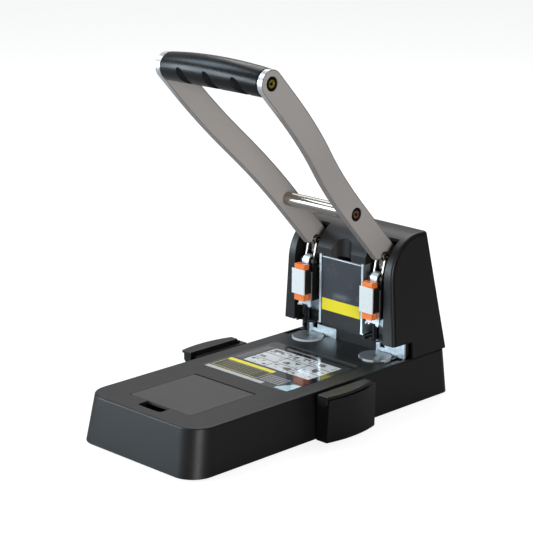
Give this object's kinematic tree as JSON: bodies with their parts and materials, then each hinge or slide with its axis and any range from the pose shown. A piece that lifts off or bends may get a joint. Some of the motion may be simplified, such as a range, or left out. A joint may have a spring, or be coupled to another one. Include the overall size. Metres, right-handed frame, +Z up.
{
  "type": "lever hole punch",
  "caption": "Heavy-duty desk two-hole punch with a raised twin-arm lever, sprung punch rams, cutting discs, sliding paper guides and a lidded storage well.",
  "frame": {"origin": "middle of the footprint, on the table", "axes": "+X to the right seen from the front, +Y from the front edge towards the head, +Z up"},
  "size_m": [0.1776, 0.311, 0.3146],
  "materials": {
    "black_plastic": "fine-textured ABS",
    "dark_panel": "smooth panel",
    "label": "printed film",
    "galvanised_steel": "zinc plated",
    "frame_steel": "black painted steel",
    "tool_steel": "ground",
    "satin_steel": "satin, clear-coated",
    "chrome": "bright chrome",
    "grip_black": "smooth gloss",
    "copper_screw": "yellow passivated",
    "orange_plastic": "moulded",
    "white_plastic": "moulded",
    "disc_plastic": "translucent grey",
    "rubber": "matt"
  },
  "bodies": {
    "root": {"base_casing": "black_plastic", "floor_plate": "frame_steel", "rubber_feet": "rubber", "floor_screws": "tool_steel", "label_panel": "label", "lid_pin": "tool_steel", "storage_bin": "black_plastic", "spare_discs": "disc_plastic", "anvils": "frame_steel", "pinion_post": "frame_steel", "head_cover": "black_plastic", "centre_panel": "dark_panel", "throat_wall": "black_plastic", "channel_left": "galvanised_steel", "channel_right": "galvanised_steel", "stop_plate_left": "galvanised_steel", "stop_plate_right": "galvanised_steel", "cutter_guide_left": "black_plastic", "cutter_guide_right": "black_plastic", "side_frame_left": "frame_steel", "side_frame_right": "frame_steel", "cross_ties": "frame_steel", "channel_bridge": "galvanised_steel", "pivot_shaft": "tool_steel", "shaft_rings": "tool_steel", "lever_spring": "tool_steel"},
    "lid": {"storage_lid": "black_plastic"},
    "disc_left": {"disc_left": "disc_plastic"},
    "disc_right": {"disc_right": "disc_plastic"},
    "guide_left": {"paper_guide_left": "black_plastic"},
    "guide_right": {"paper_guide_right": "black_plastic"},
    "pinion": {"guide_pinion": "black_plastic"},
    "lever": {"arm_left": "satin_steel", "arm_right": "satin_steel", "arm_hub_left": "tool_steel", "arm_hub_right": "tool_steel", "grip": "grip_black", "grip_core": "tool_steel", "grip_screws": "copper_screw", "crossbar": "chrome", "crossbar_screws": "copper_screw", "link_pins": "tool_steel"},
    "ram_left": {"slider_left": "black_plastic", "cutter_left": "tool_steel", "strap_left": "galvanised_steel", "holder_left": "black_plastic", "unit_cover_left": "white_plastic", "axle_left": "tool_steel"},
    "latch_left": {"latch_left": "orange_plastic"},
    "roller_left": {"roller_left": "black_plastic"},
    "link_left": {"link_left": "tool_steel"},
    "ram_right": {"slider_right": "black_plastic", "cutter_right": "tool_steel", "strap_right": "galvanised_steel", "holder_right": "black_plastic", "unit_cover_right": "white_plastic", "axle_right": "tool_steel"},
    "latch_right": {"latch_right": "orange_plastic"},
    "roller_right": {"roller_right": "black_plastic"},
    "link_right": {"link_right": "tool_steel"}
  },
  "joints": [
    {"name": "lever_hinge", "type": "hinge", "parent": "root", "child": "lever", "pos_m": [0, 0.10885, 0.1191], "axis": [1, 0, 0], "range_deg": [0, 50], "stiffness_Nm_per_rad": 0.9, "springref_deg": -68.75, "deforming": ["lever_spring"]},
    {"name": "ram_left_slide", "type": "slide", "parent": "root", "child": "ram_left", "axis": [0, 0, -1], "range_m": [0, 0.0152]},
    {"name": "link_left_swing", "type": "hinge", "parent": "ram_left", "child": "link_left", "pos_m": [-0.04, 0.08945, 0.111], "axis": [1, 0, 0], "range_deg": [0, 9]},
    {"name": "roller_left_spin", "type": "hinge", "parent": "ram_left", "child": "roller_left", "pos_m": [-0.04, 0.08945, 0.111], "axis": [1, 0, 0], "continuous": true},
    {"name": "latch_left_slide", "type": "slide", "parent": "ram_left", "child": "latch_left", "axis": [0, 0, 1], "range_m": [0, 0.003]},
    {"name": "disc_left_turn", "type": "hinge", "parent": "root", "child": "disc_left", "pos_m": [-0.04, 0.08825, 0.042], "axis": [0, 0, 1], "continuous": true},
    {"name": "ram_right_slide", "type": "slide", "parent": "root", "child": "ram_right", "axis": [0, 0, -1], "range_m": [0, 0.0152]},
    {"name": "link_right_swing", "type": "hinge", "parent": "ram_right", "child": "link_right", "pos_m": [0.04, 0.08945, 0.111], "axis": [1, 0, 0], "range_deg": [0, 9]},
    {"name": "roller_right_spin", "type": "hinge", "parent": "ram_right", "child": "roller_right", "pos_m": [0.04, 0.08945, 0.111], "axis": [1, 0, 0], "continuous": true},
    {"name": "latch_right_slide", "type": "slide", "parent": "ram_right", "child": "latch_right", "axis": [0, 0, 1], "range_m": [0, 0.003]},
    {"name": "disc_right_turn", "type": "hinge", "parent": "root", "child": "disc_right", "pos_m": [0.04, 0.08825, 0.042], "axis": [0, 0, 1], "continuous": true},
    {"name": "lid_hinge", "type": "hinge", "parent": "root", "child": "lid", "pos_m": [0, -0.05475, 0.0385], "axis": [-1, 0, 0], "range_deg": [0, 100]},
    {"name": "guide_right_slide", "type": "slide", "parent": "root", "child": "guide_right", "axis": [1, 0, 0], "range_m": [0, 0.0545]},
    {"name": "guide_left_slide", "type": "slide", "parent": "root", "child": "guide_left", "axis": [-1, 0, 0], "range_m": [0, 0.0545]},
    {"name": "pinion_spin", "type": "hinge", "parent": "root", "child": "pinion", "pos_m": [0, 0.00825, 0.02], "axis": [0, 0, 1], "range_deg": [0, 313]}
  ],
  "couplings": [
    {"joint": "ram_left_slide", "follows": "lever_hinge", "m_per_rad": 0.01741},
    {"joint": "link_left_swing", "follows": "lever_hinge", "ratio": 0.176},
    {"joint": "ram_right_slide", "follows": "lever_hinge", "m_per_rad": 0.01741},
    {"joint": "link_right_swing", "follows": "lever_hinge", "ratio": 0.176},
    {"joint": "guide_left_slide", "follows": "guide_right_slide", "ratio": 1},
    {"joint": "pinion_spin", "follows": "guide_right_slide", "rad_per_m": 100}
  ]
}
